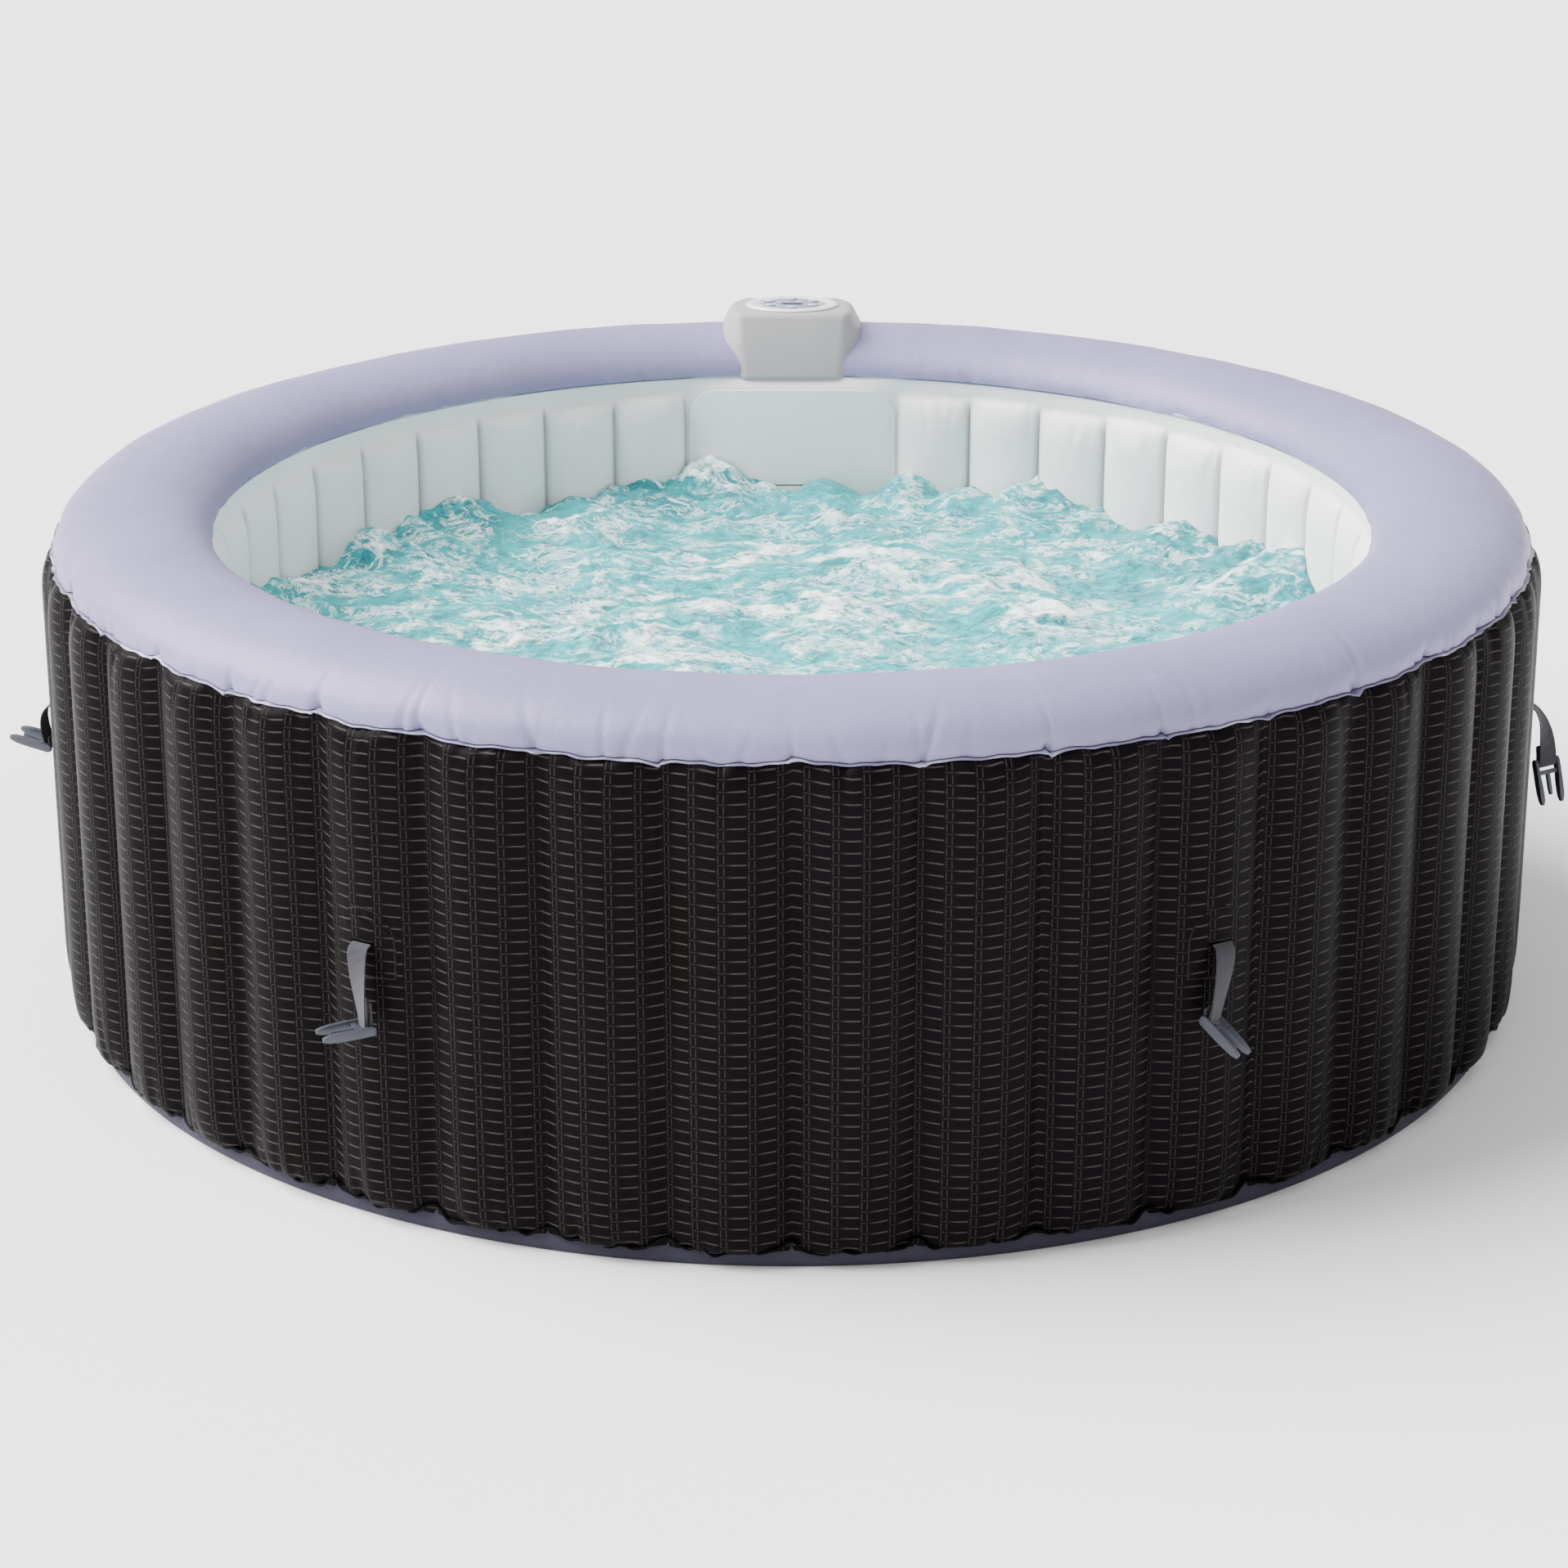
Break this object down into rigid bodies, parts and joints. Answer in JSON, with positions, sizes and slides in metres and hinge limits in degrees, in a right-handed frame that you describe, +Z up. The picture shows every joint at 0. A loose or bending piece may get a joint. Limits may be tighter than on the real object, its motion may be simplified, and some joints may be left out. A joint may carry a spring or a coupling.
{
  "type": "inflatable hot tub",
  "caption": "Round inflatable hot tub with a woven-print wall, a soft lavender rim, a white chambered liner, a pump unit built into the wall and a control console on the rim.",
  "frame": {"origin": "centre of the ground sheet, on the ground", "axes": "+Z up, -Y towards the front, the control console is at +Y"},
  "size_m": [1.9908, 1.8494, 0.6736],
  "materials": {
    "vinyl_woven": "satin, printed as woven rattan",
    "vinyl_lavender": "satin",
    "vinyl_white": "satin",
    "vinyl_black": "satin",
    "plastic_grey": "satin",
    "plastic_white": "satin",
    "plastic_gloss": "gloss",
    "plastic_black": "matte",
    "plastic_buckle": "satin",
    "panel_blue": "gloss",
    "button_grey": "satin",
    "lens_dark": "gloss",
    "webbing_grey": "woven",
    "filter_paper": "pleated",
    "board_green": "matte",
    "metal_dark": "satin",
    "metal_steel": "brushed"
  },
  "bodies": {
    "tub": {"air_valve_body": "plastic_grey", "base_sheet": "vinyl_lavender", "blower_case": "plastic_black", "bottom_welt": "vinyl_black", "bubble_ring": "vinyl_white", "console_housing": "plastic_grey", "console_neck": "plastic_grey", "control_board": "board_green", "control_panel": "panel_blue", "cord_gland": "plastic_black", "dial_ring": "plastic_gloss", "display_lens": "lens_dark", "drain_pipe": "plastic_grey", "filter_socket": "plastic_white", "floor_sheet": "vinyl_white", "heater_tube": "metal_steel", "inner_welt": "vinyl_lavender", "liner_panel": "plastic_white", "liner_wall": "vinyl_white", "outer_wall": "vinyl_woven", "patch_front_left": "vinyl_woven", "patch_front_right": "vinyl_woven", "patch_left": "vinyl_woven", "patch_rear_left": "vinyl_woven", "patch_rear_right": "vinyl_woven", "patch_right": "vinyl_woven", "pump_case_back": "plastic_grey", "pump_case_front": "plastic_grey", "pump_motor": "metal_dark", "pump_volute": "plastic_black", "return_nozzle": "plastic_white", "rim_cover": "vinyl_lavender", "rim_welt": "vinyl_lavender", "service_grille": "plastic_grey", "wall_ribs": "vinyl_white"},
    "strap_front_left": {"strap_front_left": "webbing_grey"},
    "buckle_front_left": {"buckle_front_left": "plastic_buckle"},
    "strap_front_right": {"strap_front_right": "webbing_grey"},
    "buckle_front_right": {"buckle_front_right": "plastic_buckle"},
    "strap_left": {"strap_left": "webbing_grey"},
    "buckle_left": {"buckle_left": "plastic_buckle"},
    "strap_right": {"strap_right": "webbing_grey"},
    "buckle_right": {"buckle_right": "plastic_buckle"},
    "strap_rear_left": {"strap_rear_left": "webbing_grey"},
    "buckle_rear_left": {"buckle_rear_left": "plastic_buckle"},
    "strap_rear_right": {"strap_rear_right": "webbing_grey"},
    "buckle_rear_right": {"buckle_rear_right": "plastic_buckle"},
    "button_power": {"button_power": "button_grey"},
    "button_heat": {"button_heat": "button_grey"},
    "button_filter": {"button_filter": "button_grey"},
    "button_bubble": {"button_bubble": "button_grey"},
    "button_warmer": {"button_warmer": "button_grey"},
    "button_cooler": {"button_cooler": "button_grey"},
    "filter": {"filter_cover": "plastic_white", "filter_cartridge": "filter_paper"},
    "air_valve_cap": {"air_valve_cap": "plastic_grey"},
    "drain_cap": {"drain_cap": "plastic_grey"},
    "drain_plug": {"drain_plug": "plastic_white"},
    "pump_impeller": {"pump_impeller": "plastic_white"},
    "blower_fan": {"blower_fan": "plastic_white"}
  },
  "joints": [
    {"name": "strap_front_left_swing", "type": "hinge", "parent": "tub", "child": "strap_front_left", "pos_m": [-0.46553, -0.80637, 0.34], "axis": [-0.866, 0.5, 0], "range_deg": [0, 75]},
    {"name": "buckle_front_left_swing", "type": "hinge", "parent": "strap_front_left", "child": "buckle_front_left", "pos_m": [-0.4614, -0.83157, 0.25214], "axis": [-0.3725, 0.9265, -0.0531], "range_deg": [-88, 11]},
    {"name": "strap_front_right_swing", "type": "hinge", "parent": "tub", "child": "strap_front_right", "pos_m": [0.46553, -0.80637, 0.34], "axis": [-0.866, -0.5, 0], "range_deg": [0, 75]},
    {"name": "buckle_front_right_swing", "type": "hinge", "parent": "strap_front_right", "child": "buckle_front_right", "pos_m": [0.45468, -0.83033, 0.25945], "axis": [-0.5042, -0.839, 0.2045], "range_deg": [-52, 39]},
    {"name": "strap_left_swing", "type": "hinge", "parent": "tub", "child": "strap_left", "pos_m": [-0.9311, -0.00006, 0.34], "axis": [-0.0001, 1, 0], "range_deg": [0, 75]},
    {"name": "buckle_left_swing", "type": "hinge", "parent": "strap_left", "child": "buckle_left", "pos_m": [-0.9443, -0.0015, 0.28695], "axis": [0.3272, 0.9422, 0.0716], "range_deg": [-91, 6]},
    {"name": "strap_right_swing", "type": "hinge", "parent": "tub", "child": "strap_right", "pos_m": [0.9311, -0.00006, 0.34], "axis": [-0.0001, -1, 0], "range_deg": [0, 75]},
    {"name": "buckle_right_swing", "type": "hinge", "parent": "strap_right", "child": "buckle_right", "pos_m": [0.96664, 0.00384, 0.25789], "axis": [-0.9109, -0.4075, -0.0651], "range_deg": [-19, 85]},
    {"name": "strap_rear_left_swing", "type": "hinge", "parent": "tub", "child": "strap_rear_left", "pos_m": [-0.46564, 0.8063, 0.34], "axis": [0.866, 0.5001, 0], "range_deg": [0, 75]},
    {"name": "buckle_rear_left_swing", "type": "hinge", "parent": "strap_rear_left", "child": "buckle_rear_left", "pos_m": [-0.46587, 0.82349, 0.25774], "axis": [0.865, 0.4919, 0.0991], "range_deg": [-6, 98]},
    {"name": "strap_rear_right_swing", "type": "hinge", "parent": "tub", "child": "strap_rear_right", "pos_m": [0.46564, 0.8063, 0.34], "axis": [0.866, -0.5001, 0], "range_deg": [0, 75]},
    {"name": "buckle_rear_right_swing", "type": "hinge", "parent": "strap_rear_right", "child": "buckle_rear_right", "pos_m": [0.48041, 0.81509, 0.25774], "axis": [0.8584, -0.5033, 0.0991], "range_deg": [-6, 98]},
    {"name": "button_power_press", "type": "slide", "parent": "tub", "child": "button_power", "axis": [0, -0.068, -0.9977], "range_m": [0, 0.0012], "stiffness_N_per_m": 400},
    {"name": "button_heat_press", "type": "slide", "parent": "tub", "child": "button_heat", "axis": [0, -0.068, -0.9977], "range_m": [0, 0.0012], "stiffness_N_per_m": 400},
    {"name": "button_filter_press", "type": "slide", "parent": "tub", "child": "button_filter", "axis": [0, -0.068, -0.9977], "range_m": [0, 0.0012], "stiffness_N_per_m": 400},
    {"name": "button_bubble_press", "type": "slide", "parent": "tub", "child": "button_bubble", "axis": [0, -0.068, -0.9977], "range_m": [0, 0.0012], "stiffness_N_per_m": 400},
    {"name": "button_warmer_press", "type": "slide", "parent": "tub", "child": "button_warmer", "axis": [0, -0.068, -0.9977], "range_m": [0, 0.0012], "stiffness_N_per_m": 400},
    {"name": "button_cooler_press", "type": "slide", "parent": "tub", "child": "button_cooler", "axis": [0, -0.068, -0.9977], "range_m": [0, 0.0012], "stiffness_N_per_m": 400},
    {"name": "filter_pull_out", "type": "slide", "parent": "tub", "child": "filter", "axis": [0, -1, 0], "range_m": [0, 0.11]},
    {"name": "air_valve_cap_off", "type": "slide", "parent": "tub", "child": "air_valve_cap", "axis": [0.3655, 0.9308, 0], "range_m": [0, 0.02]},
    {"name": "drain_cap_off", "type": "slide", "parent": "tub", "child": "drain_cap", "axis": [-0.3916, 0.9201, 0], "range_m": [0, 0.02]},
    {"name": "drain_plug_off", "type": "slide", "parent": "tub", "child": "drain_plug", "axis": [0.3916, -0.9201, 0], "range_m": [0, 0.02]},
    {"name": "impeller_spin", "type": "hinge", "parent": "tub", "child": "pump_impeller", "pos_m": [-0.05, 0.80043, 0.2], "axis": [0, 1, 0], "continuous": true},
    {"name": "fan_spin", "type": "hinge", "parent": "tub", "child": "blower_fan", "pos_m": [-0.04, 0.77035, 0.43], "axis": [0, 1, 0], "continuous": true}
  ]
}
